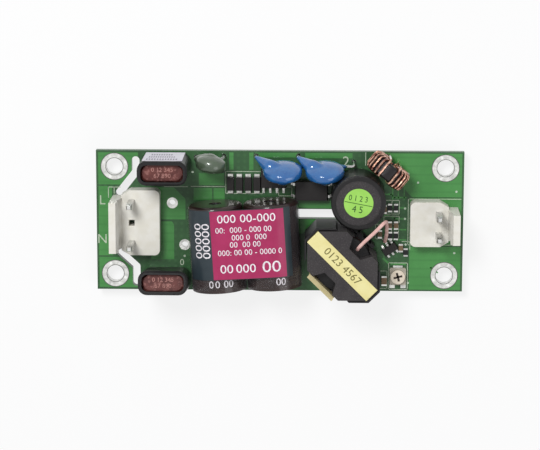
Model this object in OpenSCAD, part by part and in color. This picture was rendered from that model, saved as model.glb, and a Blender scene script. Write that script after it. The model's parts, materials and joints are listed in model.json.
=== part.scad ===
// Open frame power supply: a small mains unit on one bare circuit board.
// X runs along the board towards the output header, Y across it, Z up from
// its underside. The origin is the middle of the mounting hole pattern.

/* [Board] */
// Thickness of the board
board_t = 1.6; // [1:0.1:2.4]
// Distance from the board's ends to the mounting holes
mount_inset_x = 3.5; // [3.2:0.1:4.5]
// Distance from the board's sides to the mounting holes
mount_inset_y = 3.1; // [3:0.1:3.6]
// Bore of the plated mounting holes
mount_bore = 3.2; // [2.5:0.1:3.6]
// Diameter of the bare ring around each mounting hole
mount_land = 5.2; // [4.6:0.1:5.6]
// Bore of the two spare plated holes
spare_bore = 1.2; // [0.8:0.1:1.6]
// Width of the bare ring around a spare hole
spare_ring = 0.45; // [0.3:0.05:0.6]
// Thickness of the plating in and around the holes
plating_t = 0.05; // [0.03:0.01:0.1]
// Width of the isolation slots beside the input header
input_slot_w = 1.5; // [0.9:0.1:1.6]
// Width of the isolation slot between the two sides of the circuit
barrier_slot_w = 1.85; // [1.2:0.05:2]
// Length of the isolation slot between the two sides of the circuit
barrier_slot_l = 10; // [6:0.5:11]

/* [Layout] */
// Strip that holds an input slot, between a mounting hole and its fuse
slot_strip = 2.65; // [2.4:0.05:4]
// Gap between the neutral fuse and the bulk capacitors
bulk_gap = 0.285; // [0.085:0.01:1]
// Gap between the bulk capacitors and the transformer
core_gap = 0.7; // [0.5:0.05:2]
// Strip of small parts between the transformer and the trimmer
chip_strip = 2.1; // [2.1:0.05:4]
// Gap between the trimmer and the output header
trimmer_gap = 0.6; // [0.4:0.05:2]
// Gap between the bulk capacitors and the rectifier diodes
diode_gap = 1; // [0.8:0.05:2]
// Distance from the middle of the diodes to the leads of the disc capacitors
disc_gap = 4.766; // [4.6:0.002:6]
// Gap between the transformer and the near side of the board
core_edge = 0.2; // [0:0.05:1]
// Gap between the inductor and the choke
choke_gap = 0.7; // [0.65:0.05:1.5]
// Least distance from a solder joint to the side of the board
edge_gap = 0.15; // [0.1:0.01:1]

/* [Leads and solder] */
// Length of the clipped leads below the board
lead_tail = 1.8; // [1.4:0.1:3]
// Diameter of the component leads
lead_d = 0.6; // [0.4:0.05:0.8]
// Play between a lead and its hole, on the diameter
lead_play = 0.3; // [0.1:0.05:0.4]
// Height of a solder joint
solder_h = 1.1; // [0.6:0.1:1.3]
// Width of the solder ring around a lead at the board
solder_ring = 0.45; // [0.3:0.05:0.45]

/* [Headers] */
// Distance between neighbouring header positions
header_pitch = 3.96; // [3.5:0.02:4.2]
// Width of the square header pins
pin_w = 1.14; // [0.8:0.02:1.3]
// Height of the pins and the locking wall above the board
header_h = 9.4; // [8:0.1:11]
// Height of the header's floor
header_floor = 3.4; // [2.5:0.1:4]
// Depth of the header from the wall side to the pins
header_back = 1.95; // [1.5:0.05:2.2]
// Depth of the header from the pins to its open side
header_front = 5.3; // [4:0.1:5.6]
// Length of the header past its end pins
header_end = 2.3; // [2:0.05:2.6]
// Thickness of the locking wall at its top
wall_top = 1.3; // [0.9:0.05:1.5]
// Thickness of the locking wall at the floor
wall_foot = 1.85; // [1.5:0.05:2]
// Length that the locking wall is shorter than the header
wall_short = 2.9; // [2.4:0.1:3.4]
// Distance from the board's end to the input pins
input_inset = 7; // [6:0.1:7.5]
// Distance from the board's end to the output pins
output_inset = 4.9; // [4.4:0.1:5.4]
// Offset of both headers from the middle of the board
header_y = 0.1; // [-0.2:0.05:0.3]

/* [Fuses] */
// Length of a fuse sleeve
sleeve_l = 9.3; // [9:0.05:9.4]
// Width of a fuse sleeve
sleeve_w = 4.55; // [4.2:0.05:4.7]
// Height of a fuse sleeve
sleeve_h = 11.5; // [10.5:0.1:13]
// Wall of a fuse sleeve
sleeve_t = 0.35; // [0.2:0.05:0.4]
// How far the shrunk top of a sleeve turns in over the fuse
sleeve_turn = 0.6; // [0.3:0.05:0.8]
// Height of a fuse body
fuse_h = 8; // [7:0.1:8.5]
// Depth of a fuse body below the top of its sleeve
fuse_sunk = 1.2; // [0.9:0.1:2]
// Distance between the two leads of a fuse
fuse_pitch = 5.08; // [4.5:0.02:5.6]
// Lean of the neutral fuse towards the middle of the board
fuse_lean = 8; // [0:0.5:9]
// Width of the paper label on the line fuse
fuse_label_l = 7.45; // [6:0.05:7.6]

/* [Thermistor] */
// Diameter of the thermistor disc
thermistor_d = 5.8; // [5:0.1:6]
// Thickness of the thermistor disc
thermistor_t = 3.5; // [2.6:0.1:3.6]
// Height of the disc's lowest point above the board
thermistor_lift = 2.5; // [1.5:0.1:3.5]

/* [Rectifier] */
// Number of rectifier diodes
diode_count = 4; // [2:1:4]
// Distance between neighbouring diodes
diode_pitch = 1.68; // [1.6:0.02:1.8]
// Width of a diode body
diode_w = 1.4; // [1.2:0.05:1.5]
// Length of a diode body
diode_l = 2.7; // [2.4:0.05:2.9]

/* [Bulk capacitors] */
// Diameter of a bulk capacitor can
bulk_d = 10; // [9:0.1:10.2]
// Length of a bulk capacitor can
bulk_l = 16; // [14:0.1:16.4]
// Thickness of the printed sleeve on a can
can_sleeve_t = 0.15; // [0.1:0.01:0.2]
// Distance between the two leads of a bulk capacitor
bulk_lead_pitch = 5; // [4:0.1:5.6]
// Thickness of the clear film around both cans
film_t = 0.15; // [0.1:0.01:0.2]
// Turn of the pair of cans about the vertical
bulk_turn = 3.2; // [0:0.1:4]
// Width of the rating label across both cans
label_l = 18.9; // [14:0.1:19.4]
// Height of the rating label along the cans
label_w = 13.2; // [10:0.1:14]
// Distance of the label from the middle of the cans, away from their leads
label_shift = 1.1; // [0:0.1:1.2]

/* [Disc capacitors] */
// Diameter of a disc capacitor
disc_d = 7.4; // [6.5:0.1:7.6]
// Thickness of a disc capacitor
disc_t = 3; // [2.2:0.1:3.2]
// Lean of the disc capacitors from the vertical
disc_lean = 18; // [12:1:22]
// Distance between the two leads of a disc capacitor
disc_lead_pitch = 10.6; // [9:0.1:10.8]
// Distance between the two disc capacitors
disc_spacing = 7.95; // [7.9:0.05:8.05]

/* [Output inductor] */
// Outer diameter of the sleeved inductor
inductor_d = 10.3; // [8:0.1:10.3]
// Height of the inductor
inductor_h = 9; // [7:0.1:11]
// Distance between its leads
inductor_pitch = 5; // [3.5:0.1:6]
// Diameter of the round test sticker
sticker_d = 5.5; // [4:0.1:7]

/* [Transformer] */
// Width and depth of the ferrite core
core_w = 13.1; // [12.4:0.1:13.2]
// Height of the core
core_h = 10.6; // [9:0.1:11.5]
// Height of the core above the board
core_lift = 1.4; // [1.2:0.1:2]
// Distance from the middle to each open side of the core
core_cut = 5.2; // [5:0.05:5.4]
// Length of the two small corner flats under the tape
core_flat = 3; // [2.6:0.1:3.4]
// Diameter of the centre post
post_d = 5.6; // [5:0.1:6]
// Thickness of the core's end plates
plate_t = 2.2; // [1.8:0.1:2.8]
// Thickness of the black tape around the outer legs
band_t = 0.3; // [0.15:0.05:0.3]
// Width of the yellow tape over the core
tape_w = 2.9; // [2:0.1:3]
// Thickness of the yellow tape
tape_t = 0.1; // [0.06:0.01:0.12]

/* [Output choke] */
// Outer diameter of the bare choke ring
ring_d = 7.35; // [7:0.05:7.5]
// Bore of the bare choke ring
ring_bore = 4.1; // [3.9:0.05:4.3]
// Thickness of the bare choke ring
ring_t = 2.9; // [2.4:0.1:3]
// Diameter of the enamelled wire
enamel_d = 0.42; // [0.36:0.01:0.44]
// Number of turns in each of the two windings
choke_turns = 11; // [6:1:11]
// Turn of the choke about the vertical
choke_turn = -39; // [-42:1:-36]
// Lean of the choke away from the inductor
choke_lean = 1; // [0:0.5:4]

/* [Trimmer] */
// Width of the trimmer's base
trimmer_w = 3.1; // [2.8:0.1:3.3]
// Length of the trimmer's base
trimmer_l = 3.3; // [3:0.1:3.5]
// Diameter of the turning rotor
rotor_d = 2.7; // [2.2:0.1:2.8]
// Play between the rotor and the base
rotor_play = 0.1; // [0.05:0.01:0.15]

/* [Hidden] */
$fn = 48;

top = board_t;             // component side of the board
seat = 0.05;               // gap under a part that rests on the board
fit = 0.1;                 // gap between parts that lie side by side
hull_fn = 24;              // facets of the corners inside a hull
wire_sides = 8;            // sides of a bent wire

/* Outlines and small shapes */

// Rectangle with its four corners rounded by true arcs
module round_rect(l, w, r) {
    square([l - 2*r, w], center = true);
    square([l, w - 2*r], center = true);
    for (x = [-1, 1], y = [-1, 1])
        translate([x*(l/2 - r), y*(w/2 - r)]) circle(r);
}

// Upright block with round corners and eased upper and lower edges
module soft_block(l, w, h, r, ease) {
    hull() {
        linear_extrude(h) round_rect(l - 2*ease, w - 2*ease, r - ease/2, $fn = hull_fn);
        translate([0, 0, ease]) linear_extrude(h - 2*ease) round_rect(l, w, r, $fn = hull_fn);
    }
}

// Moulded package: widest at its parting line, drawn in above and below
module moulded_block(l, w, h, draft) {
    hull() {
        translate([0, 0, h/2]) cube([l, w, 0.1], center = true);
        translate([0, 0, h/2]) cube([l - 2*draft, w - 2*draft, h], center = true);
    }
}

// Flat ring
module ring(outer, bore, h) {
    difference() {
        cylinder(d = outer, h = h);
        translate([0, 0, -1]) cylinder(d = bore, h = h + 2);
    }
}

/* Bent wires */

function unit(v) = v / norm(v);

// Replaces each inner corner of a path by a short curve that starts r before it
function rounded(p, r, steps = 3) = [p[0],
    for (i = [1:len(p) - 2])
        let (a = p[i] + r*unit(p[i - 1] - p[i]), b = p[i] + r*unit(p[i + 1] - p[i]))
            for (j = [0:steps])
                let (t = j/steps) a*(1 - t)*(1 - t) + p[i]*2*t*(1 - t) + b*t*t,
    p[len(p) - 1]];

function heading(p, i) = unit(p[min(i + 1, len(p) - 1)] - p[max(i - 1, 0)]);

// Corners of the wire's cross-section at point i; side is never along the path
function wire_ring(p, i, d, side, n) =
    let (t = heading(p, i), u = unit(cross(t, side)), v = cross(u, t))
        [for (k = [0:n - 1]) p[i] + (u*cos(360*k/n) + v*sin(360*k/n))*d/2];

// Round wire swept along a path
module wire(p, d, side = [0, 1, 0], n = wire_sides) {
    m = len(p);
    polyhedron(
        points = [for (i = [0:m - 1]) each wire_ring(p, i, d, side, n)],
        faces = concat(
            [[for (k = [n - 1:-1:0]) k]],
            [for (i = [0:m - 2], k = [0:n - 1])
                [i*n + k, i*n + (k + 1) % n, (i + 1)*n + (k + 1) % n, (i + 1)*n + k]],
            [[for (k = [0:n - 1]) (m - 1)*n + k]]));
}

// Round wire swept along a closed path
module wire_loop(p, d, side, n = wire_sides) {
    m = len(p);
    polyhedron(
        points = [for (i = [0:m - 1])
            let (t = unit(p[(i + 1) % m] - p[(i + m - 1) % m]),
                u = unit(cross(t, side)), v = cross(u, t))
                for (k = [0:n - 1]) p[i] + (u*cos(360*k/n) + v*sin(360*k/n))*d/2],
        faces = [for (i = [0:m - 1], k = [0:n - 1])
            let (j = (i + 1) % m, l = (k + 1) % n)
                [i*n + k, i*n + l, j*n + l, j*n + k]]);
}

/* Places on the board: u runs from its input end, v from its near side */

fuse_u = mount_inset_x + mount_land/2 + slot_strip + sleeve_l/2;
can_r = bulk_d/2;
film_r = can_r + can_sleeve_t + fit + film_t;
bulk_pitch = bulk_d + 2*can_sleeve_t + fit;
pair_half = bulk_pitch/2 + film_r;
bulk_slip = 6*sin(bulk_turn);      // room that the turn of the cans leaves beside the fuse
bulk_u = fuse_u + sleeve_l/2 + bulk_gap + pair_half - bulk_slip;
wrap = fit + tape_t + band_t;      // from the core's side to the outside of its tape
core_half_w = core_w/2 + wrap;
core_u = bulk_u + pair_half + core_gap + core_half_w;
trimmer_u = core_u + core_half_w + chip_strip + trimmer_w/2;
output_u = trimmer_u + trimmer_w/2 + trimmer_gap + header_front;
board_l = output_u + output_inset;

joint_r = lead_d/2 + solder_ring;
bulk_lead_reach = 0.6;             // from a can's end to its bent leads
bulk_rise = (bulk_pitch + bulk_lead_pitch)/2*sin(bulk_turn);
bulk_v = edge_gap + joint_r + bulk_rise + bulk_lead_reach + bulk_l/2;
can_end_v = bulk_v + bulk_l/2;
diode_foot = 0.5;
diode_v = can_end_v + diode_gap + diode_foot + diode_l/2;
core_v = core_edge + core_half_w;
inductor_from_core = [2.95, core_w/2 + inductor_d/2 - 0.3];
disc_slant = -6;                   // turn of the line through a disc's two holes
disc_drop = 1.7;                   // from the middle of a disc to its holes, across the board
disc_reach = 0.04;                 // least distance of the discs' middle from the inductor, across
disc_hole_v = disc_drop + max(diode_v + disc_gap - disc_drop,
    core_v + inductor_from_core[1] + inductor_d/2 + disc_reach);
board_w = disc_hole_v - disc_lead_pitch/2*sin(disc_slant) + joint_r + edge_gap;

left_end = -board_l/2;
right_end = board_l/2;
near_edge = -board_w/2;
far_edge = board_w/2;
function place(u, v) = [left_end + u, near_edge + v];

mounts = [for (x = [-1, 1], y = [-1, 1])
    [x*(right_end - mount_inset_x), y*(far_edge - mount_inset_y)]];

input_x = left_end + input_inset;
output_x = right_end - output_inset;
input_pins = [for (s = [-1, 1]) [input_x, header_y + s*header_pitch]];
output_pins = [for (s = [-0.5, 0.5]) [output_x, header_y + s*header_pitch]];

line_fuse_at = place(fuse_u, board_w - sleeve_w/2 - 0.3);
neutral_fuse_at = place(fuse_u, sleeve_w/2 - 0.2);
line_fuse_leads = [for (s = [-0.5, 0.5]) line_fuse_at + [s*fuse_pitch, 0]];
neutral_fuse_leads = [for (s = [-0.5, 0.5]) neutral_fuse_at + [s*fuse_pitch, 0]];
spare_holes = [place(fuse_u + 1.1, board_w/2 + 3.4), place(fuse_u + 3.45, board_w/2 - 4.7)];

bulk_mid = place(bulk_u, bulk_v);
bulk_z = top + seat + film_r;
function bulk_point(x, y) = bulk_mid
    + [x*cos(bulk_turn) - y*sin(bulk_turn), x*sin(bulk_turn) + y*cos(bulk_turn)];
bulk_leads = [for (can = [-0.5, 0.5], s = [-0.5, 0.5])
    bulk_point(can*bulk_pitch + s*bulk_lead_pitch, -bulk_l/2 - bulk_lead_reach)];

thermistor_mid = place(bulk_u - 6.4, board_w - 1.8);
thermistor_turn = -10;
thermistor_feet = [[-3.1, 0.6], [2.2, 0.8]];   // its two leads, from its middle
thermistor_leads_at = [for (foot = thermistor_feet) thermistor_mid + foot];

disc_z = top + 5;
disc_mids = [for (i = [0, 1]) place(bulk_u + 7.05 + i*disc_spacing, disc_hole_v - disc_drop)];
function disc_holes(i) = [for (s = [-0.5, 0.5])
    [disc_mids[i][0] + 0.2 + s*disc_lead_pitch*cos(disc_slant),
     near_edge + disc_hole_v + s*disc_lead_pitch*sin(disc_slant)]];

core_at = place(core_u, core_v);
foot_reach = 0.65;                 // thickness of the former's feet outside the core
foot_w = 5.5;
pin_out = core_cut - 0.35;         // from the core's middle to a row of pins
transformer_pin_d = 0.7;
foot_pins = [-2.2, -0.75, 0.75, 2.2];
core_pins = [for (side = [45, 225], y = foot_pins)
    core_at + [pin_out*cos(side) - y*sin(side), pin_out*sin(side) + y*cos(side)]];

inductor_at = core_at + inductor_from_core;
inductor_leads_at = [for (s = [-0.5, 0.5]) inductor_at + [s*inductor_pitch, 0]];

enamel_gap = 0.06;                 // gap between the ring and the wire around it
choke_slide = 0.85;                   // the choke's middle along its ring, from the inductor's
choke_out = inductor_d/2 + choke_gap + ring_t/2 + enamel_gap + enamel_d;
choke_at = inductor_at + choke_out*[-sin(choke_turn), cos(choke_turn)]
    + choke_slide*[cos(choke_turn), sin(choke_turn)];
function choke_point(along, out) = choke_at
    + [along*cos(choke_turn) - out*sin(choke_turn), along*sin(choke_turn) + out*cos(choke_turn)];
choke_leads = [for (out = [-1.5, 1.6], along = [-1.35, 1.35]) choke_point(along, out)];

flying_hole = core_at + [8.15, 2.65];
lead_wire_d = 0.68;

trimmer_at = place(trimmer_u, 3);
chip_mid = [trimmer_at[0], core_at[1]];   // the small parts are placed from here

// Every round lead that is soldered, as [x, y] and its diameter
round_leads = concat(
    [for (q = concat(line_fuse_leads, neutral_fuse_leads, bulk_leads, thermistor_leads_at,
        disc_holes(0), disc_holes(1), inductor_leads_at)) [q, lead_d]],
    [for (q = core_pins) [q, transformer_pin_d]],
    [for (q = choke_leads) [q, enamel_d]],
    [[flying_hole, lead_wire_d]]);

/* Board, rings and solder */

// Routed slot with round ends along a line of points
module routed_slot(p, w) {
    for (i = [0:len(p) - 2]) hull() {
        translate(p[i]) circle(d = w, $fn = hull_fn);
        translate(p[i + 1]) circle(d = w, $fn = hull_fn);
    }
}

module board() {
    bend_x = left_end + mount_inset_x + mount_land/2 + input_slot_w/2 + 0.7;
    barrier_y = core_at[1] + core_half_w + 0.65;
    barrier_x = core_at[0] - 0.3;
    color("seagreen") linear_extrude(board_t) difference() {
        square([board_l, board_w], center = true);
        for (q = mounts) translate(q) circle(d = mount_bore + 2*plating_t);
        for (q = spare_holes) translate(q) circle(d = spare_bore + 2*plating_t);
        for (lead = round_leads) translate(lead[0]) circle(d = lead[1] + lead_play);
        for (q = concat(input_pins, output_pins)) translate(q) circle(d = pin_w*sqrt(2) + 0.1);
        routed_slot([[bend_x, far_edge - 1.9], [bend_x, far_edge - 4.2],
            [left_end + 4.4, far_edge - 8.2]], input_slot_w);
        routed_slot([[bend_x, near_edge + 1.4], [bend_x, near_edge + 4.5],
            [left_end + 4.6, near_edge + 7.2]], input_slot_w);
        routed_slot([[barrier_x - barrier_slot_l, barrier_y], [barrier_x, barrier_y]],
            barrier_slot_w);
    }
}

// Plated hole: a thin barrel with a flat ring on each face of the board
module plated_hole(bore, land) {
    rotate_extrude() polygon([
        [bore/2, -plating_t], [land/2, -plating_t], [land/2, 0], [bore/2 + plating_t, 0],
        [bore/2 + plating_t, board_t], [land/2, board_t], [land/2, board_t + plating_t],
        [bore/2, board_t + plating_t]]);
}

module plated_rings() {
    color("silver") {
        for (q = mounts) translate(q) plated_hole(mount_bore, mount_land);
        for (q = spare_holes) translate(q) plated_hole(spare_bore, spare_bore + 2*spare_ring);
    }
}

// Solder cone on the underside that climbs down the lead
module solder_cone(bore) {
    rotate_extrude() polygon([[bore/2, 0], [bore/2 + solder_ring, 0],
        [bore/2 + solder_ring, -0.08], [bore/2 + solder_ring*0.45, -solder_h*0.45],
        [bore/2 + solder_ring*0.2, -solder_h], [bore/2, -solder_h]]);
}

module solder_joints() {
    color("gainsboro") {
        for (lead = round_leads) translate(lead[0]) solder_cone(lead[1]);
        for (q = concat(input_pins, output_pins)) translate(q) difference() {
            solder_cone(pin_w);
            cube([pin_w, pin_w, 4*solder_h], center = true);
        }
    }
}

/* Headers: locking wall on the -X side, pins on the Y axis */

module header_body(positions, fitted) {
    len_y = (positions - 1)*header_pitch + 2*header_end;
    depth = header_back + header_front;
    wall_l = len_y - wall_short;
    wall_back = header_back + wall_foot;
    catch_h = 1.4;             // height of the ramp that a plug's catch snaps over
    catch_out = 0.45;
    difference() {
        union() {
            linear_extrude(header_floor) intersection() {
                translate([(header_front - header_back)/2, 0]) round_rect(depth, len_y, 1);
                polygon([[-header_back, -wall_l/2 - 0.5], [-header_back + 1.6, -len_y/2],
                    [header_front, -len_y/2], [header_front, len_y/2],
                    [-header_back + 1.6, len_y/2], [-header_back, wall_l/2 + 0.5]]);
            }
            translate([0, wall_l/2, 0]) rotate([90, 0, 0]) linear_extrude(wall_l)
                polygon([[-wall_back, 0], [-header_back + 0.1, 0], [-header_back + 0.1, header_floor],
                    [-wall_back + wall_top, header_h - catch_h - 1],
                    [-wall_back + wall_top, header_h - catch_h],
                    [-wall_back + wall_top + catch_out, header_h - catch_h + 0.2],
                    [-wall_back + wall_top, header_h], [-wall_back, header_h]]);
        }
        for (y = fitted) translate([0, y, 0])
            cube([pin_w, pin_w, 3*header_floor], center = true);
    }
}

module header_pin() {
    tip = 0.8;
    hull() {
        translate([-pin_w/2, -pin_w/2, -lead_tail]) cube([pin_w, pin_w, top + header_h - tip + lead_tail]);
        translate([-pin_w*0.28, -pin_w*0.28, 0]) cube([pin_w*0.56, pin_w*0.56, top + header_h]);
    }
}

module input_header() {
    color("ivory") translate([input_x, header_y, top])
        header_body(3, [-header_pitch, 0, header_pitch]);
}

module input_header_pins() {
    color("silver") for (q = input_pins) translate(q) header_pin();
}

module output_header() {
    color("ivory") translate([output_x, header_y, top]) rotate(180)
        header_body(2, [-header_pitch/2, header_pitch/2]);
}

module output_header_pins() {
    color("silver") for (q = output_pins) translate(q) header_pin();
}

/* Fuses: a small body in a shrunk black sleeve with an open mouth, standing on two leads */

fuse_l = sleeve_l - 2*sleeve_t - 2*fit;
fuse_w = sleeve_w - 2*sleeve_t - 2*fit;
sleeve_lift = 0.4;
sleeve_r = sleeve_w*0.38;
fuse_z = sleeve_lift + sleeve_h - fuse_sunk - fuse_h;

module fuse_body() {
    translate([0, 0, fuse_z]) soft_block(fuse_l, fuse_w, fuse_h, fuse_w*0.45, 0.5);
}

// Sleeve seen from above, grown or shrunk all round
module sleeve_outline(grow) {
    round_rect(sleeve_l + 2*grow, sleeve_w + 2*grow, sleeve_r + grow, $fn = hull_fn);
}

// Inside of a sleeve: straight, then drawn in towards the mouth
module sleeve_inside() {
    turn_h = 0.9;
    translate([0, 0, -1]) linear_extrude(sleeve_h - turn_h + 1) sleeve_outline(-sleeve_t);
    hull() {
        translate([0, 0, sleeve_h - turn_h - 0.01]) linear_extrude(0.01) sleeve_outline(-sleeve_t);
        translate([0, 0, sleeve_h - 0.35]) linear_extrude(1) sleeve_outline(-sleeve_t - sleeve_turn);
    }
}

module fuse_sleeve() {
    ease = 0.35;
    translate([0, 0, sleeve_lift]) difference() {
        hull() {
            linear_extrude(sleeve_h - ease) sleeve_outline(0);
            linear_extrude(sleeve_h) sleeve_outline(-ease);
        }
        sleeve_inside();
    }
}

module stand_line_fuse() {
    translate([line_fuse_at[0], line_fuse_at[1], top]) children();
}

module stand_neutral_fuse() {
    translate([neutral_fuse_at[0], neutral_fuse_at[1], top]) rotate([-fuse_lean, 0, 0]) children();
}

module line_fuse() {
    color("firebrick") stand_line_fuse() fuse_body();
}

module line_fuse_sleeve() {
    color("#2c2c2e") stand_line_fuse() fuse_sleeve();
}

module line_fuse_label() {
    label_t = 0.08;
    label_h = sleeve_h - 1.5;
    flat = min(fuse_label_l, sleeve_l - 2*sleeve_r + 1.6);
    color("lavender") stand_line_fuse() translate([-flat/2, sleeve_w/2, sleeve_lift + 0.5])
        cube([flat, label_t, label_h]);
}

module neutral_fuse() {
    color("firebrick") stand_neutral_fuse() fuse_body();
}

module neutral_fuse_sleeve() {
    color("#2c2c2e") stand_neutral_fuse() fuse_sleeve();
}

module fuse_leads() {
    up = [0, sin(fuse_lean), cos(fuse_lean)];
    color("silver") {
        for (q = line_fuse_leads) translate([q[0], q[1], -lead_tail])
            cylinder(d = lead_d, h = lead_tail + top + fuse_z);
        for (q = neutral_fuse_leads) {
            foot = [q[0], q[1], top];
            wire([foot - [0, 0, top + lead_tail], foot, foot + up*fuse_z], lead_d, [1, 0, 0]);
        }
    }
}

/* Coated discs */

// Half section of a disc with full round rim and slightly domed faces
module disc_section(d, t) {
    dome = t*0.72;
    intersection() {
        union() {
            square([d/2 - t/2, t/2]);
            translate([d/2 - t/2, 0]) circle(t/2);
            translate([0, -t/2]) square([d/2 - t/2, t]);
        }
        intersection_for(s = [-1, 1])
            translate([0, s*(d*d/(8*(t - dome)) - dome/2)]) circle(d*d/(8*(t - dome)) + dome*0.2, $fn = 96);
        translate([0, -t]) square([d, 2*t]);
    }
}

module coated_disc(d, t) {
    rotate([90, 0, 0]) rotate_extrude() disc_section(d, t);
}

// Coating drawn out from a point on a disc down to where its lead leaves it
module coated_tail(from, r_from, to, r_to) {
    hull() {
        translate(from) sphere(r_from, $fn = 16);
        translate(to) sphere(r_to, $fn = 12);
    }
}

thermistor_z = top + thermistor_lift + thermistor_d/2;
thermistor_tail = 2.4;     // height above the board where its leads leave their tails
tail_end = 0.35;           // radius of a coated tail where the lead leaves it

module thermistor() {
    left = thermistor_leads_at[0];
    right = thermistor_leads_at[1];
    color("dimgray") {
        translate([thermistor_mid[0], thermistor_mid[1], thermistor_z]) rotate(thermistor_turn)
            coated_disc(thermistor_d, thermistor_t);
        coated_tail([thermistor_mid[0] - 1.4, thermistor_mid[1] + 0.3, thermistor_z - 0.4], 1.3,
            [left[0], left[1], top + thermistor_tail], tail_end);
        coated_tail([thermistor_mid[0] + 1.4, thermistor_mid[1], thermistor_z - 1.2], 1,
            [right[0], right[1], top + thermistor_tail], tail_end);
    }
}

module thermistor_leads() {
    color("silver") for (q = thermistor_leads_at) translate([q[0], q[1], -lead_tail])
        cylinder(d = lead_d, h = lead_tail + top + thermistor_tail - tail_end);
}

/* Surface mounted parts */

diode_h = 1;
diode_at = place(bulk_u - 0.45, diode_v);
module each_diode() {
    for (i = [0:diode_count - 1])
        translate([diode_at[0] + (i - (diode_count - 1)/2)*diode_pitch, diode_at[1], top]) children();
}

module rectifier_diodes() {
    color("#3a3836") each_diode() translate([0, 0, 0.1])
        moulded_block(diode_w, diode_l, diode_h, 0.08);
}

module rectifier_terminals() {
    color("silver") each_diode() for (s = [-1, 1])
        translate([0, s*(diode_l + diode_foot)/2, 0.25])
            cube([diode_w*0.7, diode_foot, 0.4], center = true);
}

// Row of gull wing pins along X, their tips towards -Y
module pin_row(count, pitch, w, reach, shoulder) {
    t = 0.2;
    for (i = [0:count - 1]) translate([(i - (count - 1)/2)*pitch - w/2, 0, 0])
        rotate([90, 0, 90]) linear_extrude(w) polygon([
            [-reach, seat], [-reach*0.45, seat], [-reach*0.3, shoulder - t], [0, shoulder - t],
            [0, shoulder], [-reach*0.45, shoulder], [-reach*0.6, seat + t], [-reach, seat + t]]);
}

module both_pin_rows(count, pitch, w, reach, shoulder, body_w) {
    for (a = [0, 180]) rotate(a) translate([0, -body_w/2, 0])
        pin_row(count, pitch, w, reach, shoulder);
}

controller_at = place(bulk_u + 5.25, diode_v + 1.2);
controller_w = 3.9;
module controller_chip() {
    color("#242426") translate([controller_at[0], controller_at[1], top + seat + 0.1])
        moulded_block(4.9, controller_w, 1.4, 0.15);
}

module controller_pins() {
    color("silver") translate([controller_at[0], controller_at[1], top])
        both_pin_rows(4, 1.27, 0.42, 1.05, 0.95, controller_w);
}

opto_l = 6.3;
opto_at = [inductor_at[0] - inductor_d/2 - 0.55 - opto_l/2, near_edge + can_end_v + 1.75];
opto_h = 2.1;
module optocoupler() {
    color("#1f1d20") translate([opto_at[0], opto_at[1], top + seat + 0.1])
        moulded_block(opto_l, 3.9, opto_h, 0.2);
}

module optocoupler_pins() {
    color("silver") translate([opto_at[0], opto_at[1], top]) rotate(90)
        both_pin_rows(2, 2.3, 0.5, 0.75, 1.25, opto_l);
}

regulator_at = chip_mid + [-1.55, 1.05];
regulator_w = 1.6;
module at_regulator() {
    translate([regulator_at[0], regulator_at[1], top]) rotate(33) children();
}

module regulator_chip() {
    color("#1d1b1c") at_regulator() translate([0, 0, seat + 0.05])
        moulded_block(3, regulator_w, 1.05, 0.12);
}

module regulator_pins() {
    color("silver") at_regulator() both_pin_rows(3, 0.95, 0.4, 0.6, 0.65, regulator_w);
}

// Chips lying along Y, each a body between two metal ends; the places are from chip_mid
chip_l = 1.6;
chip_w = 0.8;
chip_end = 0.3;
chips_up = inductor_at[1] - chip_mid[1];   // from there to the upper rows beside the inductor
resistors = [[-1.63, chips_up - 2.4], [-0.5, chips_up - 2.4], [-1.57, 3.6], [-0.45, 3.6], [1.45, 0.4]];
capacitors = [[-2.65, chips_up - 2.65], [-1.65, 5.65], [-0.45, 5.65], [-3.5, 3.95], [0.5, 1.3]];
big_chip = [-2.6, -5.1];

module each_chip(places) {
    for (q = places) translate([chip_mid[0] + q[0], chip_mid[1] + q[1], top + seat]) children();
}

module chip_resistors() {
    color("#2a2a2c") each_chip(resistors) translate([-chip_w/2, chip_end - chip_l/2, 0])
        cube([chip_w, chip_l - 2*chip_end, 0.45]);
}

module chip_capacitors() {
    color("#b59a7c") {
        each_chip(capacitors) translate([-chip_w/2, chip_end - chip_l/2, 0])
            cube([chip_w, chip_l - 2*chip_end, 0.75]);
        each_chip([big_chip]) translate([-0.5, -0.65, 0]) cube([1, 1.3, 1]);
    }
}

module chip_ends(w, l, end, h) {
    for (s = [-1, 1]) translate([0, s*(l - end)/2, h/2]) cube([w, end, h], center = true);
}

module chip_terminals() {
    color("silver") {
        each_chip(resistors) chip_ends(chip_w, chip_l, chip_end, 0.47);
        each_chip(capacitors) chip_ends(chip_w, chip_l, chip_end, 0.77);
        each_chip([big_chip]) chip_ends(1, 1.9, 0.3, 1.02);
    }
}

/* Bulk capacitors: two cans lying side by side, leads towards -Y */

// Stands children along +Y at each can, origin at the middle of the can's lead end
module each_can() {
    for (s = [-0.5, 0.5]) {
        q = bulk_point(s*bulk_pitch, -bulk_l/2);
        translate([q[0], q[1], bulk_z]) rotate(bulk_turn) rotate([-90, 0, 0]) children();
    }
}

crimp_at = 2;              // distance of the crimped groove from the lead end
crimp_r = 0.7;
bung_sunk = 0.25;

// Aluminium can: closed far end, groove, and open lead end for the bung
module bulk_capacitor_cans() {
    color("#a8a9ac") each_can() rotate_extrude() difference() {
        union() {
            square([can_r, bulk_l - 0.5]);
            square([can_r - 0.5, bulk_l]);
            translate([can_r - 0.5, bulk_l - 0.5]) circle(0.5);
        }
        translate([can_r + crimp_r*0.45, crimp_at]) circle(crimp_r);
        translate([-1, -1]) square([can_r - 0.3, 1 + crimp_at]);
        translate([-1, bulk_l - 0.15]) square([can_r*0.7, 1]);
    }
}

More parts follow.
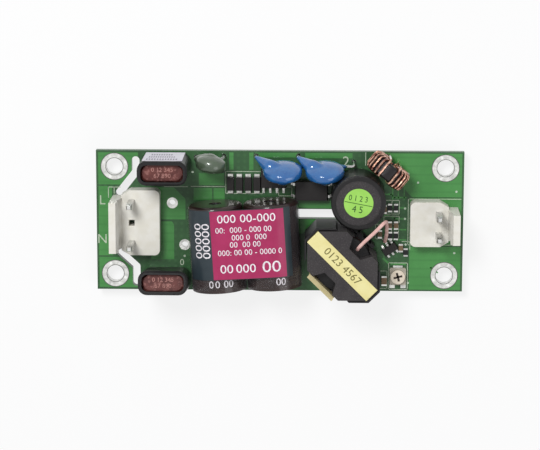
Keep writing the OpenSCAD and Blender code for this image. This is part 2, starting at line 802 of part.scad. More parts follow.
// Shrunk plastic sleeve that turns a little over the lead end and far over the closed end
module bulk_capacitor_sleeves() {
    r = can_r + can_sleeve_t;
    turn_in = 1;
    far_turn = can_r - 1.2;
    color("#4a3a38") each_can() rotate_extrude() difference() {
        union() {
            translate([can_r, 0]) square([can_sleeve_t, bulk_l - 0.5]);
            translate([can_r - turn_in, -can_sleeve_t]) square([turn_in + can_sleeve_t, can_sleeve_t]);
            translate([can_r - far_turn, bulk_l]) square([far_turn - 0.5, can_sleeve_t]);
            intersection() {
                translate([can_r - 0.5, bulk_l - 0.5]) square(2);
                difference() {
                    translate([can_r - 0.5, bulk_l - 0.5]) circle(0.5 + can_sleeve_t);
                    translate([can_r - 0.5, bulk_l - 0.5]) circle(0.5);
                }
            }
        }
        translate([r + crimp_r*0.75, crimp_at]) circle(crimp_r*0.8);
    }
}

module bulk_capacitor_bungs() {
    color("#262626") each_can() difference() {
        translate([0, 0, bung_sunk]) cylinder(r = can_r - 1.3, h = crimp_at - bung_sunk);
        for (s = [-0.5, 0.5]) translate([s*bulk_lead_pitch, 0, -1]) cylinder(d = lead_d, h = 4);
    }
}

module bulk_capacitor_leads() {
    color("silver") for (can = [-0.5, 0.5], s = [-0.5, 0.5]) {
        x = can*bulk_pitch + s*bulk_lead_pitch;
        a = bulk_point(x, -bulk_l/2 + crimp_at);
        b = bulk_point(x, -bulk_l/2 - bulk_lead_reach);
        wire(rounded([[a[0], a[1], bulk_z], [b[0], b[1], bulk_z], [b[0], b[1], -lead_tail]], 0.6),
            lead_d, [cos(bulk_turn), sin(bulk_turn), 0]);
    }
}

// Outline of the pair of cans seen along them, grown by a distance
module pair_outline(r) {
    for (s = [-0.5, 0.5]) translate([s*bulk_pitch, 0]) circle(r, $fn = 96);
    square([bulk_pitch, 2*r], center = true);
}

// Puts an outline drawn in X and Z onto the pair of cans, centred along Y
module along_cans(length) {
    translate([bulk_mid[0], bulk_mid[1], bulk_z]) rotate(bulk_turn)
        translate([0, length/2, 0]) rotate([90, 0, 0]) linear_extrude(length) children();
}

module capacitor_film() {
    color("#d8d8de", 0.35) along_cans(bulk_l - 1) difference() {
        pair_outline(film_r);
        pair_outline(film_r - film_t);
    }
}

// Rating label: a thin strip that follows the tops of both cans
module rating_label() {
    label_t = 0.1;
    side = bulk_pitch/2 + film_r*0.9;
    color("#c04a80") translate([-label_shift*sin(bulk_turn), label_shift*cos(bulk_turn), 0])
        along_cans(label_w) intersection() {
            difference() {
                pair_outline(film_r + label_t);
                pair_outline(film_r);
            }
            translate([-side, 0]) square([min(label_l, 2*side), 2*film_r]);
        }
}

/* Disc capacitors: two coated discs leaning back from the board's edge */

tail_z = 2.2;              // height above the board where a left lead leaves its tail
// Point where the right lead of disc i leaves its coating
function right_root(i) = [disc_mids[i][0] + disc_d*0.5 + 0.1, disc_mids[i][1] + 0.55, top + 2.1];

// The left tail leaves from the face towards the board's edge; the right lead runs low
module disc_capacitor(i) {
    mid = disc_mids[i];
    left = disc_holes(i)[0];
    color("royalblue") {
        translate([mid[0], mid[1], disc_z]) rotate([disc_lean, 0, 0]) coated_disc(disc_d, disc_t);
        coated_tail([mid[0] - disc_d*0.3, mid[1] + 0.75, disc_z - 1.3], disc_t*0.4,
            [left[0], left[1], top + tail_z], tail_end);
        coated_tail([mid[0] + disc_d*0.3, mid[1] + 0.5, disc_z - 1.8], disc_t*0.3, right_root(i), tail_end);
    }
}

module disc_capacitor_left() {
    disc_capacitor(0);
}

module disc_capacitor_right() {
    disc_capacitor(1);
}

module disc_capacitor_leads() {
    color("silver") for (i = [0, 1]) {
        left = disc_holes(i)[0];
        right = disc_holes(i)[1];
        root = right_root(i);
        translate([left[0], left[1], -lead_tail])
            cylinder(d = lead_d, h = lead_tail + top + tail_z - tail_end);
        wire(rounded([root + [tail_end + 0.02, 0, 0], [right[0], root[1], root[2] - 0.2],
            [right[0], right[1], top + 0.5], [right[0], right[1], -lead_tail]], 0.4), lead_d, [0.7, 0.7, 0.1]);
    }
}

/* Output inductor: a sleeved drum core with a round sticker on top */

module stand_inductor() {
    translate([inductor_at[0], inductor_at[1], top + 0.3]) children();
}

drum_r = inductor_d/2 - 0.35 - fit;
flange_t = 1.6;
drum_h = inductor_h - 0.2;

module inductor_core() {
    waist_r = drum_r*0.5;
    color("#55545a") stand_inductor() rotate_extrude() polygon([[0, 0], [drum_r, 0],
        [drum_r, flange_t], [waist_r, flange_t], [waist_r, drum_h - flange_t],
        [drum_r, drum_h - flange_t], [drum_r, drum_h - 0.3], [drum_r - 0.3, drum_h], [0, drum_h]]);
}

module inductor_winding() {
    color("#8c4a28") stand_inductor() translate([0, 0, flange_t])
        ring(2*drum_r - 0.8, drum_r, drum_h - 2*flange_t);
}

// Sleeve that turns in over the rim of the drum
module inductor_sleeve() {
    color("#2b2b2d") stand_inductor() rotate_extrude() translate([inductor_d/2, 0]) polygon([
        [-0.35, 0], [0, 0], [0, inductor_h - 0.35], [-0.1, inductor_h - 0.12], [-0.3, inductor_h],
        [-0.9, inductor_h], [-0.9, inductor_h - 0.1], [-0.35, inductor_h - 0.25]]);
}

module inductor_leads() {
    color("silver") for (q = inductor_leads_at) translate([q[0], q[1], -lead_tail])
        cylinder(d = lead_d, h = lead_tail + top + 0.3);
}

module test_sticker() {
    color("#b4e080") stand_inductor() translate([0, 0, drum_h]) cylinder(d = sticker_d, h = 0.08);
}

/* Transformer: two ferrite halves around a wound bobbin */

// Plan of the core: a square with two long and two short corner cuts
module core_outline(w) {
    flat = core_flat/sqrt(2);
    intersection() {
        square(w, center = true);
        rotate(45) square([2*core_cut, 3*w], center = true);
        rotate(45) square([3*w, (w - flat)*sqrt(2)], center = true);
    }
}

// Plan of the end plates: the same with a notch in each long cut
module plate_outline() {
    depth = 2;
    mouth = 5.2;
    difference() {
        core_outline(core_w);
        for (a = [45, 225]) rotate(a) translate([core_cut - depth, 0])
            polygon([[0, -mouth*0.28], [depth + 1, -mouth/2 - 0.5], [depth + 1, mouth/2 + 0.5],
                [0, mouth*0.28]]);
    }
}

window_r = core_w/2 - 1;
// Lower half of the core, open at the top, resting at z = 0
module core_half() {
    difference() {
        linear_extrude(core_h/2) core_outline(core_w);
        translate([0, 0, plate_t]) ring(2*window_r, post_d, core_h);
        translate([0, 0, -1]) linear_extrude(plate_t + 1.5) difference() {
            square(2*core_w, center = true);
            plate_outline();
        }
    }
}

module stand_transformer() {
    translate([core_at[0], core_at[1], top + core_lift]) children();
}

module transformer_core_lower() {
    color("#5b5a5f") stand_transformer() core_half();
}

module transformer_core_upper() {
    color("#5b5a5f") stand_transformer() translate([0, 0, core_h]) mirror([0, 0, 1]) core_half();
}

bobbin_gap = 0.15;
tube_r = post_d/2 + bobbin_gap + 0.5;
flange_r = min(window_r - 0.25, core_cut + 0.1);
bobbin_z = plate_t + bobbin_gap;
bobbin_h = core_h - 2*bobbin_z;
bobbin_flange = 0.6;

// Coil former: tube, two flanges, and two feet that carry the pins
module transformer_bobbin() {
    color("#1d1d1f") stand_transformer() {
        translate([0, 0, bobbin_z]) difference() {
            union() {
                cylinder(r = tube_r, h = bobbin_h);
                cylinder(r = flange_r, h = bobbin_flange);
                translate([0, 0, bobbin_h - bobbin_flange]) cylinder(r = flange_r, h = bobbin_flange);
            }
            translate([0, 0, -1]) cylinder(d = post_d + 2*bobbin_gap, h = bobbin_h + 2);
        }
        for (a = [45, 225]) rotate(a) translate([core_cut + fit, 0, seat - core_lift])
            bobbin_foot();
    }
}

// Foot on an open side of the core: a wall up to the lower flange on a base under the core
module bobbin_foot() {
    height = core_lift - seat + bobbin_z + bobbin_flange;
    base_h = core_lift - seat - fit;
    base_in = 1.4;
    difference() {
        union() {
            translate([0, -foot_w/2, 0]) cube([foot_reach, foot_w, height]);
            translate([-base_in, -foot_w/2, 0]) cube([base_in, foot_w, base_h]);
        }
        for (y = foot_pins) translate([pin_out - core_cut - fit, y, -1])
            cylinder(d = transformer_pin_d, h = base_h + 0.6);
        for (y = [-1.5, 0, 1.5]) translate([foot_reach, y, height - 1.2])
            cube([0.6, 0.6, 3], center = true);
    }
    // web that joins the foot to the flange
    translate([-core_cut - fit + tube_r, -1.2, height - bobbin_flange])
        cube([core_cut + fit - tube_r + 0.1, 2.4, bobbin_flange]);
}

module transformer_winding() {
    color("#5a2a1e") stand_transformer() translate([0, 0, bobbin_z + bobbin_flange])
        ring(2*(core_cut - 0.25), 2*tube_r, bobbin_h - 2*bobbin_flange);
}

// Yellow tape: one closed band over the corner flats
module transformer_tape() {
    length = (core_w - core_flat/sqrt(2))*sqrt(2);
    color("khaki") stand_transformer() rotate(-45) translate([0, tape_w/2, core_h/2])
        rotate([90, 0, 0]) linear_extrude(tape_w) difference() {
            round_rect(length + 2*tape_t, core_h + 2*tape_t, 0.2);
            square([length, core_h], center = true);
        }
}

// Black tape around each outer leg, stopped short of the open sides
module transformer_band() {
    z0 = 0.4;
    color("#3b3a3e") stand_transformer() translate([0, 0, z0]) linear_extrude(core_h - 2*z0)
        difference() {
            core_outline(core_w + 2*(fit + band_t) + 2*tape_t);
            core_outline(core_w + 2*(fit + tape_t));
            for (a = [45, 225]) rotate(a) translate([core_cut - 1.1, -core_w]) square(2*core_w);
        }
}

module transformer_pins() {
    color("silver") for (q = core_pins) translate([q[0], q[1], -lead_tail])
        cylinder(d = transformer_pin_d, h = lead_tail + top + core_lift - fit - 0.4);
}

// Pale insulating strip that stands on the lower open side and folds out at its top
module transformer_insulation() {
    strip_w = 6.4;
    strip_t = 0.2;
    foot = bobbin_z + bobbin_flange + 0.3;
    rise = core_h - foot;
    color("cornsilk") stand_transformer() rotate(225) translate([core_cut + 0.15, strip_w/2, foot])
        rotate([90, 0, 0]) linear_extrude(strip_w)
            polygon([[0, 0], [strip_t, 0], [strip_t, rise - 0.5], [0.75, rise + 0.35],
                [0.6, rise + 0.5], [0, rise - 0.4]]);
}

// Path of the flying lead over the small parts, from the core's middle
flying_path = concat(
    [for (q = [[2.8, 2.8, 10.15], [2.95, 3.4, 11.5], [3.9, 4.6, 12.3], [5.8, 6.4, 12.4],
        [7.6, 8.1, 11.5], [8.1, 8.1, 9.8], [8.3, 6.6, 7.2], [8.35, 4.7, 4.4]])
        [core_at[0] + q[0], core_at[1] + q[1], top + q[2]]],
    [[flying_hole[0], flying_hole[1], top + 1.6], [flying_hole[0], flying_hole[1], -lead_tail]]);

// Pale pink insulated lead from the winding over to the board
module flying_lead() {
    color("mistyrose") wire(rounded(flying_path, 0.5, 2), lead_wire_d, [0.5, -0.6, 0.3]);
}

/* Output choke: ring core on its rim with two windings */

choke_z = top + 0.3 + ring_d/2 + enamel_gap + enamel_d;

// World position of a point given along the ring, out of its face and above its middle
function choke_spot(along, out, up) =
    let (q = choke_point(along, out*cos(choke_lean) + up*sin(choke_lean)))
        [q[0], q[1], choke_z + up*cos(choke_lean) - out*sin(choke_lean)];

// Stands children with the ring's axis level and its middle at the choke's middle
module stand_choke() {
    translate([choke_at[0], choke_at[1], choke_z]) rotate(choke_turn) rotate([90 - choke_lean, 0, 0])
        children();
}

module choke_ring() {
    color("#1e1c20") stand_choke() rotate_extrude()
        translate([(ring_d + ring_bore)/4, 0]) round_rect((ring_d - ring_bore)/2, ring_t, 0.4);
}

// One turn of wire around the ring's section, in the X-Z plane
function turn_path(half_w, half_h, r) = [for (c = [[1, 1, 0], [-1, 1, 90], [-1, -1, 180], [1, -1, 270]],
    a = [0, 45, 90]) [c[0]*(half_w - r) + r*cos(c[2] + a), 0, c[1]*(half_h - r) + r*sin(c[2] + a)]];

wire_off = enamel_d/2 + enamel_gap;       // from the ring's surface to the middle of the wire
turn_step = 2*asin((enamel_d/2 + 0.01)/(ring_bore/2 - wire_off));
winding_half = (choke_turns - 1)/2*turn_step;

// One winding on the left (-1) or right (1) half of the ring, and its two leads
module choke_winding(side) {
    middle = side > 0 ? 0 : 180;
    stand_choke() for (i = [0:choke_turns - 1]) rotate(middle - winding_half + i*turn_step)
        translate([(ring_d + ring_bore)/4, 0, 0])
            wire_loop(turn_path((ring_d - ring_bore)/4 + wire_off, ring_t/2 + wire_off, 0.4 + wire_off),
                enamel_d, [0, 1, 0], 6);
    along = side*ring_d/2*cos(winding_half);
    up = ring_d/2*sin(winding_half);
    near = choke_leads[side > 0 ? 1 : 0];
    far = choke_leads[side > 0 ? 3 : 2];
    face = ring_t/2 + wire_off;
    wire(rounded([choke_spot(along, -face, 0.2 - up), choke_spot(along*0.98, -face, -up - 0.3),
        [near[0], near[1], top + 0.4], [near[0], near[1], -lead_tail]], 0.3), enamel_d, [1, 0.1, 0]);
    wire(rounded([choke_spot(along, face - 0.2, up), choke_spot(along, face + enamel_d, up - 0.4),
        choke_spot(along, face + enamel_d, 0.9 - up), [far[0], far[1], top + 0.5],
        [far[0], far[1], -lead_tail]], 0.3), enamel_d, [1, 0.1, 0]);
}

module choke_winding_left() {
    color("#c98d6a") choke_winding(-1);
}

module choke_winding_right() {
    color("#c98d6a") choke_winding(1);
}

/* Trimmer: ceramic base, three terminals and a turning rotor */

trimmer_h = 0.8;
rotor_h = 0.55;

module trimmer_base() {
    color("#d9d4c8") translate([trimmer_at[0], trimmer_at[1], top + seat]) difference() {
        linear_extrude(trimmer_h) round_rect(trimmer_w, trimmer_l, 0.3);
        translate([0, 0, -1]) cylinder(d = 0.7 + 2*rotor_play, h = 3);
    }
}

// Rotor with a cross slot for the screwdriver and a pin down through the base
module trimmer_rotor() {
    z = trimmer_h + rotor_play;
    color("#cfc8be") translate([trimmer_at[0], trimmer_at[1], top + seat]) difference() {
        union() {
            translate([0, 0, z]) cylinder(d = rotor_d, h = rotor_h);
            translate([0, 0, 0.15]) cylinder(d = 0.7, h = z);
        }
        for (a = [15, 105]) rotate(a) translate([0, 0, z + rotor_h])
            cube([rotor_d*0.66, 0.42, 0.5], center = true);
    }
}

module trimmer_terminals() {
    foot_l = 0.7;
    color("silver") translate([trimmer_at[0], trimmer_at[1], top + seat]) {
        for (x = [-1, 1]) translate([x*(trimmer_w/2 - 0.5) - 0.5, -trimmer_l/2 - foot_l, 0])
            cube([1, foot_l, 0.35]);
        translate([-0.9, trimmer_l/2, 0]) cube([1.8, 0.45, 0.5]);
    }
}

/* Parts */
board();
plated_rings();
solder_joints();
input_header();
input_header_pins();
output_header();
output_header_pins();
line_fuse();
line_fuse_sleeve();
line_fuse_label();
neutral_fuse();
neutral_fuse_sleeve();
fuse_leads();
thermistor();
thermistor_leads();
rectifier_diodes();
rectifier_terminals();
controller_chip();
controller_pins();
optocoupler();
optocoupler_pins();
bulk_capacitor_cans();
bulk_capacitor_sleeves();
bulk_capacitor_bungs();
bulk_capacitor_leads();
capacitor_film();
rating_label();
disc_capacitor_left();
disc_capacitor_right();
disc_capacitor_leads();
inductor_core();
inductor_winding();
inductor_sleeve();
inductor_leads();
test_sticker();
transformer_core_upper();
transformer_core_lower();
transformer_bobbin();
transformer_winding();
transformer_tape();
transformer_band();
transformer_pins();
transformer_insulation();
flying_lead();
choke_ring();
choke_winding_left();
choke_winding_right();
trimmer_base();
trimmer_rotor();
trimmer_terminals();
chip_resistors();
chip_capacitors();
chip_terminals();
regulator_chip();
regulator_pins();
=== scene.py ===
import json
import math

import bmesh
import bpy
from mathutils import Euler, Matrix, Vector


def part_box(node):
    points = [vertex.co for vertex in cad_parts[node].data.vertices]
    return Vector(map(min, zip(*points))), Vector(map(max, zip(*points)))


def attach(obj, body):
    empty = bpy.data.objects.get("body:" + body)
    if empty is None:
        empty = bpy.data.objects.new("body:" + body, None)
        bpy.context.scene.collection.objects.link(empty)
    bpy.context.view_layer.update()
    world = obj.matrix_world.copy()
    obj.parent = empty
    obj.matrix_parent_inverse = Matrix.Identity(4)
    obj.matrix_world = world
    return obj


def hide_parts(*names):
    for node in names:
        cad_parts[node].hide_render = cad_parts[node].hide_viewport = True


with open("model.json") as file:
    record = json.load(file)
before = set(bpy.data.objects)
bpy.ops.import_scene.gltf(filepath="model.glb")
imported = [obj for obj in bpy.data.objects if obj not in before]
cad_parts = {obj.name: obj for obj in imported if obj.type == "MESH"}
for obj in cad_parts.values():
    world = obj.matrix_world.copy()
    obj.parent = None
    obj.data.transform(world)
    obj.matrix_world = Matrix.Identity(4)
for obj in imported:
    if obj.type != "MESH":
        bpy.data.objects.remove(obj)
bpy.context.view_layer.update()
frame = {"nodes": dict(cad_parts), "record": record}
NODES = frame["nodes"]
MM = 0.001
TOP = 0.0016                                   # component side of the board
FLOOR = -0.0018                                # the lead tails stand on the floor


def srgb(r, g, b):
    """A colour read off a screen, from 0 to 255, as the linear colour that Blender uses."""
    shares = (r/255, g/255, b/255)
    return tuple(v/12.92 if v <= 0.04045 else ((v + 0.055)/1.055)**2.4 for v in shares) + (1,)


def linked(name, data):
    """A new object in the scene."""
    obj = bpy.data.objects.new(name, data)
    bpy.context.scene.collection.objects.link(obj)
    return obj


# Camera: where the photograph was taken from

CAMERA_PLACE = (8.334, 74.697, 401.609)        # in millimetres
CAMERA_TURN = (-10.679, 1.477, 0.110)          # degrees about X, Y and Z, away from straight down
CAMERA_LENS = 142.07                           # in millimetres, for the sensor's width below
SENSOR_WIDTH = 36


def make_camera():
    data = bpy.data.cameras.new("camera")
    data.sensor_width = SENSOR_WIDTH
    data.lens = CAMERA_LENS
    data.clip_start = 0.02
    data.clip_end = 20
    camera = linked("camera", data)
    turn = Euler([math.radians(v) for v in CAMERA_TURN])
    camera.matrix_world = Matrix.LocRotScale(Vector(CAMERA_PLACE)*MM, turn, None)
    bpy.context.scene.camera = camera


# Light: a pale world, one large soft lamp and a weaker one

WORLD_LIGHT = 0.42                             # strength of the white world where it gives light
FLOOR_HALF = 3                                 # half the floor's side in metres
FLOOR_GLOW = 0.8                               # share of plain white in the floor that the camera sees


def add(tree, kind, inputs=None, **settings):
    """A new shader node; each input is a value or another node's output."""
    node = tree.nodes.new("ShaderNode" + kind)
    for key, value in settings.items():
        setattr(node, key, value)
    for key, value in (inputs or {}).items():
        if isinstance(value, bpy.types.NodeSocket):
            tree.links.new(value, node.inputs[key])
        else:
            node.inputs[key].default_value = value
    return node


def area_light(name, place, size, watts):
    data = bpy.data.lights.new(name, "AREA")
    data.shape = "DISK"
    data.size = size
    data.energy = watts
    lamp = linked(name, data)
    lamp.location = place
    lamp.rotation_euler = (-Vector(place)).to_track_quat("-Z", "Y").to_euler()


def seen_white(tree, dim):
    """A value that is 1 for camera, glossy and transmission rays and dim for light."""
    path = add(tree, "LightPath").outputs
    seen = add(tree, "Math", {0: path["Is Camera Ray"], 1: path["Is Glossy Ray"]}, operation="MAXIMUM")
    seen = add(tree, "Math", {0: seen.outputs[0], 1: path["Is Transmission Ray"]}, operation="MAXIMUM")
    return add(tree, "MapRange", {"Value": seen.outputs[0], "To Min": dim}).outputs[0]


def make_stage():
    world = bpy.data.worlds.new("world")
    bpy.context.scene.world = world
    world.use_nodes = True
    background = world.node_tree.nodes["Background"]
    background.inputs["Color"].default_value = (1, 1, 1, 1)
    world.node_tree.links.new(seen_white(world.node_tree, WORLD_LIGHT), background.inputs["Strength"])
    area_light("key_lamp", (-0.12, 0.22, 0.42), 0.16, 1.75)
    area_light("fill_lamp", (0.28, -0.16, 0.34), 0.30, 0.45)
    corners = [(x*FLOOR_HALF, y*FLOOR_HALF, FLOOR) for x, y in ((-1, -1), (1, -1), (1, 1), (-1, 1))]
    floor = mesh_object("floor", corners, [(0, 1, 2, 3)])
    look = Look("floor_paper", (225, 225, 226), 0.9)
    glow = add(look.tree, "Emission", {"Color": (1, 1, 1, 1)})
    share = add(look.tree, "Math", {0: seen_white(look.tree, 0), 1: FLOOR_GLOW}, operation="MULTIPLY")
    look.cover(share.outputs[0], look.bsdf, glow)
    floor.data.materials.append(look.mat)


# Materials

class Look:
    """A material while it is made. Patterns are laid in the object's own metres."""

    def __init__(self, name, colour, roughness=0.5, metal=0.0, coat=0.0, **inputs):
        self.mat = bpy.data.materials.new("look_" + name)
        self.mat.use_nodes = True
        self.tree = self.mat.node_tree
        self.bsdf = self.tree.nodes["Principled BSDF"]
        self.place = add(self.tree, "TexCoord").outputs["Object"]
        self.colour = None
        self.paint(srgb(*colour))
        self.set(Roughness=roughness, Metallic=metal, **{"Coat Weight": coat, "Coat Roughness": 0.08,
            "Specular IOR Level": 0.25})
        self.set(**inputs)

    def set(self, **inputs):
        for key, value in inputs.items():
            if isinstance(value, bpy.types.NodeSocket):
                self.tree.links.new(value, self.bsdf.inputs[key])
            else:
                self.bsdf.inputs[key].default_value = value
        return self

    def paint(self, colour):
        self.colour = colour
        return self.set(**{"Base Color": colour})

    def stretched(self, x, y, z):
        return add(self.tree, "Mapping", {"Vector": self.place, "Scale": (x, y, z)}).outputs[0]

    def noise(self, size, detail=3.0, place=None):
        """Cloudy value from 0 to 1 whose patches are about size metres wide."""
        return add(self.tree, "TexNoise", {
            "Vector": place or self.place, "Scale": 1/size, "Detail": detail}).outputs[0]

    def bands(self, direction, scale, distortion):
        """Stripes along one axis, as a value from 0 to 1."""
        return add(self.tree, "TexWave", {"Vector": self.place, "Scale": scale, "Distortion": distortion},
            bands_direction=direction).outputs[1]

    def mix(self, factor, colour, low=0.35, high=0.65, share=1.0):
        """Blend the present colour with another one where factor is high."""
        span = add(self.tree, "MapRange", {
            "Value": factor, "From Min": low, "From Max": high, "To Max": share})
        mixer = add(self.tree, "Mix", {0: span.outputs[0]}, data_type="RGBA")
        if isinstance(self.colour, bpy.types.NodeSocket):
            self.tree.links.new(self.colour, mixer.inputs[6])
        else:
            mixer.inputs[6].default_value = self.colour
        mixer.inputs[7].default_value = srgb(*colour)
        return self.paint(mixer.outputs[2])

    def rough(self, factor, low, high):
        return self.set(Roughness=add(self.tree, "MapRange", {
            "Value": factor, "To Min": low, "To Max": high}).outputs[0])

    def bump(self, height, depth):
        """Bump of depth metres."""
        return self.set(Normal=add(self.tree, "Bump", {
            "Height": height, "Distance": depth, "Strength": 1.0}).outputs[0])

    def cover(self, share, under, over):
        """Show the shader over where share is 1 and the shader under where it is 0."""
        both = add(self.tree, "MixShader", {0: share, 1: under.outputs[0], 2: over.outputs[0]})
        self.tree.links.new(both.outputs[0], self.tree.nodes["Material Output"].inputs["Surface"])
        return self


def metal(name, colour, roughness):
    look = Look(name, colour, roughness, metal=1)
    cloud = look.noise(0.0009)
    look.mix(cloud, [round(v*0.82) for v in colour])
    return look.rough(cloud, roughness*0.7, roughness*1.4).bump(look.noise(0.0005), 0.00002)


def plastic(name, colour, roughness, grain=0.00001, other=None):
    look = Look(name, colour, roughness)
    cloud = look.noise(0.0015)
    look.mix(cloud, other or [round(v*0.9) for v in colour])
    return look.rough(cloud, roughness*0.85, roughness*1.15).bump(look.noise(0.0002), grain)


def solder_mask():
    """Green lacquer with the faint weave of the board under it."""
    look = Look("solder_mask", (42, 78, 46), 0.35, coat=0.15)
    cloud = look.noise(0.004)
    look.mix(cloud, (50, 88, 52))
    weave = add(look.tree, "Math", {0: look.bands("X", 260.0, 1.0), 1: look.bands("Y", 260.0, 1.0)},
        operation="MULTIPLY").outputs[0]
    look.mix(weave, (58, 100, 60), 0.2, 0.9, 0.5)
    return look.bump(weave, 0.00001)


def copper_pour():
    look = Look("copper_pour", (62, 124, 62), 0.32, coat=0.2)
    look.mix(look.noise(0.006), (70, 134, 70))
    look.mix(look.bands("Y", 190.0, 0.3), (54, 112, 56), 0.8, 0.95, 0.35)
    return look.bump(look.noise(0.0006), 0.000015)


def printed_ink(name, colour):
    look = Look(name, colour, 0.6)
    return look.mix(look.noise(0.0004, 2), [round(v*0.85) for v in colour], 0.45, 0.7)


def glossy_coating(name, colour, other, roughness, ripple):
    """Dipped coating: thick, glossy and slightly uneven."""
    look = Look(name, colour, roughness, coat=0.9)
    look.mix(look.noise(0.002), other)
    look.mix(look.noise(0.0003, 2), [min(255, v + 22) for v in colour], 0.62, 0.75, 0.5)
    return look.bump(look.noise(0.0012, 1), ripple)


def can_sleeve():
    look = Look("can_sleeve", (48, 34, 32), 0.28, coat=0.35)
    look.mix(look.noise(0.003), (36, 25, 24))
    return look.bump(look.noise(0.001), 0.00001)


def clear_film():
    """Clear film: mostly see-through, with soft highlights where it is creased."""
    look = Look("clear_film", (120, 118, 122), 0.2, coat=0.6)
    crease = look.noise(0.0012, 2, look.stretched(1, 0.25, 1))
    look.bump(crease, 0.00003)
    clear = add(look.tree, "BsdfTransparent")
    rim = add(look.tree, "LayerWeight", {"Blend": 0.35}).outputs["Facing"]
    share = add(look.tree, "MapRange", {"Value": rim, "To Min": 0.02, "To Max": 0.28}).outputs[0]
    return look.cover(share, clear, look.bsdf)


def paper(name, colour, other):
    look = Look(name, colour, 0.42, coat=0.15)
    look.mix(look.noise(0.0022), other)
    return look.bump(look.noise(0.0004), 0.000008)


def ferrite():
    """Pressed and fired powder: matt, with fine light and dark specks."""
    look = Look("ferrite", (52, 49, 50), 0.5)
    look.mix(look.noise(0.0025), (44, 41, 43))
    look.mix(look.noise(0.00022, 4), (92, 88, 90), 0.56, 0.75, 0.6)
    look.mix(look.noise(0.00035, 4, look.stretched(1, 1.1, 1)), (30, 28, 30), 0.58, 0.75, 0.6)
    return look.bump(look.noise(0.00025, 4), 0.00003)


def enamelled_wire():
    # the wire's copper colour lightened into a painted highlight; the dark red-brown that the noise mixes
    # in is painted shade from the gaps between strands, laid in random patches
    look = Look("enamelled_wire", (228, 182, 156), 0.14, metal=0.85, coat=1.0)
    look.mix(look.noise(0.0008), (112, 52, 34))
    return look.bump(look.noise(0.0004), 0.00001)


def black_tape():
    look = Look("black_tape", (34, 32, 34), 0.4)
    layers = look.bands("Z", 420.0, 1.5)
    look.mix(layers, (25, 24, 26))
    return look.bump(layers, 0.00002)


def winding():
    """Side of a wound coil: round wires lying one above the other."""
    look = Look("winding", (84, 36, 26), 0.3, metal=0.4, coat=0.4)
    turns = look.bands("Z", 620.0, 0.4)
    look.mix(turns, (52, 20, 16))
    return look.bump(turns, 0.00006)


def make_looks():
    """The look of every material slot of the record."""
    fuse = plastic("fuse_plastic", (104, 58, 54), 0.45, 0.00003, (78, 40, 38))
    fuse.mix(fuse.noise(0.0006, 2), (150, 104, 98), 0.56, 0.66, 0.6)
    looks = {
        "solder_mask_board": solder_mask(),
        "tinned_plating": metal("tinned_plating", (226, 226, 222), 0.26),
        "solder": metal("solder", (205, 206, 208), 0.22),
        "header_plastic": plastic("header_plastic", (216, 214, 207), 0.42, 0.000006, (210, 207, 197)),
        "tinned_pins": metal("tinned_pins", (214, 214, 212), 0.28),
        "fuse_plastic": fuse,
        "black_sleeve": plastic("black_sleeve", (29, 28, 29), 0.34, 0.00003, (21, 20, 21)),
        "pale_label": paper("pale_label", (206, 204, 212), (196, 194, 206)),
        "thermistor_coating": glossy_coating(
            "thermistor_coating", (70, 84, 66), (58, 72, 56), 0.45, 0.0002),
        "moulded_package": plastic("moulded_package", (30, 27, 27), 0.45, 0.00002),
        "tinned_terminal": metal("tinned_terminal", (210, 210, 206), 0.3),
        "can_aluminium": metal("can_aluminium", (190, 192, 196), 0.32),
        "can_sleeve": can_sleeve(),
        "rubber_bung": plastic("rubber_bung", (26, 26, 27), 0.7, 0.00003),
        "tinned_wire": metal("tinned_wire", (212, 212, 210), 0.25),
        "clear_film": clear_film(),
        "magenta_label": paper("magenta_label", (38, 48, 54), (44, 54, 60)),
        "blue_coating": glossy_coating("blue_coating", (38, 100, 160), (28, 84, 146), 0.16, 0.0001),
        "ferrite": ferrite(),
        "enamelled_wire": enamelled_wire(),
        "lime_sticker": paper("lime_sticker", (150, 204, 92), (142, 196, 84)),
        "bobbin_plastic": plastic("bobbin_plastic", (24, 23, 25), 0.4, 0.00002),
        "yellow_tape": paper("yellow_tape", (222, 214, 156), (214, 204, 140)),
        "black_tape": black_tape(),
        "pale_insulation": paper("pale_insulation", (214, 202, 158), (200, 186, 140)),
        "pink_insulation": plastic("pink_insulation", (226, 186, 180), 0.35, 0.00001, (206, 162, 156)),
        "ring_coating": plastic("ring_coating", (26, 22, 24), 0.35, 0.00003),
        "trimmer_ceramic": plastic("trimmer_ceramic", (172, 166, 152), 0.5, 0.00001),
        "trimmer_rotor_plastic": plastic(
            "trimmer_rotor_plastic", (218, 208, 192), 0.4, 0.00001, (204, 190, 172)),
        "chip_resistor_body": plastic("chip_resistor_body", (24, 24, 26), 0.35, 0.00001),
        "chip_capacitor_body": plastic("chip_capacitor_body", (124, 102, 78), 0.4, 0.00001),
    }
    return {name: look.mat for name, look in looks.items()}


def make_inks():
    """Looks of the printed marks and added details, as a name and its slot and material."""
    return {
        "silk": ("pale_label", printed_ink("silk", (176, 190, 168)).mat),
        "pour": ("solder_mask_board", copper_pour().mat),
        "label_white": ("pale_label", printed_ink("label_white", (232, 226, 232)).mat),
        "label_pink": ("magenta_label", paper("label_pink", (160, 40, 88), (150, 34, 80)).mat),
        "fuse_ink": ("moulded_package", printed_ink("fuse_ink", (120, 112, 130)).mat),
        "tape_ink": ("moulded_package", printed_ink("tape_ink", (112, 106, 58)).mat),
        "sticker_ink": ("moulded_package", printed_ink("sticker_ink", (36, 72, 34)).mat),
        "fuse_mark": ("fuse_plastic", printed_ink("fuse_mark", (172, 124, 116)).mat),
        "tin": ("tinned_plating", metal("via_tin", (176, 190, 172), 0.35).mat),
        "bright": ("tinned_plating", metal("via_bright", (250, 250, 248), 0.18).mat),
        # painted shade on the floor of the trimmer rotor's cross slot
        "slot_shade_ink": ("trimmer_rotor_plastic", printed_ink("painted_slot_shade", (58, 50, 46)).mat),
        "dark": ("solder_mask_board", printed_ink("ring_rim", (84, 88, 82)).mat),
    }


# Pieces

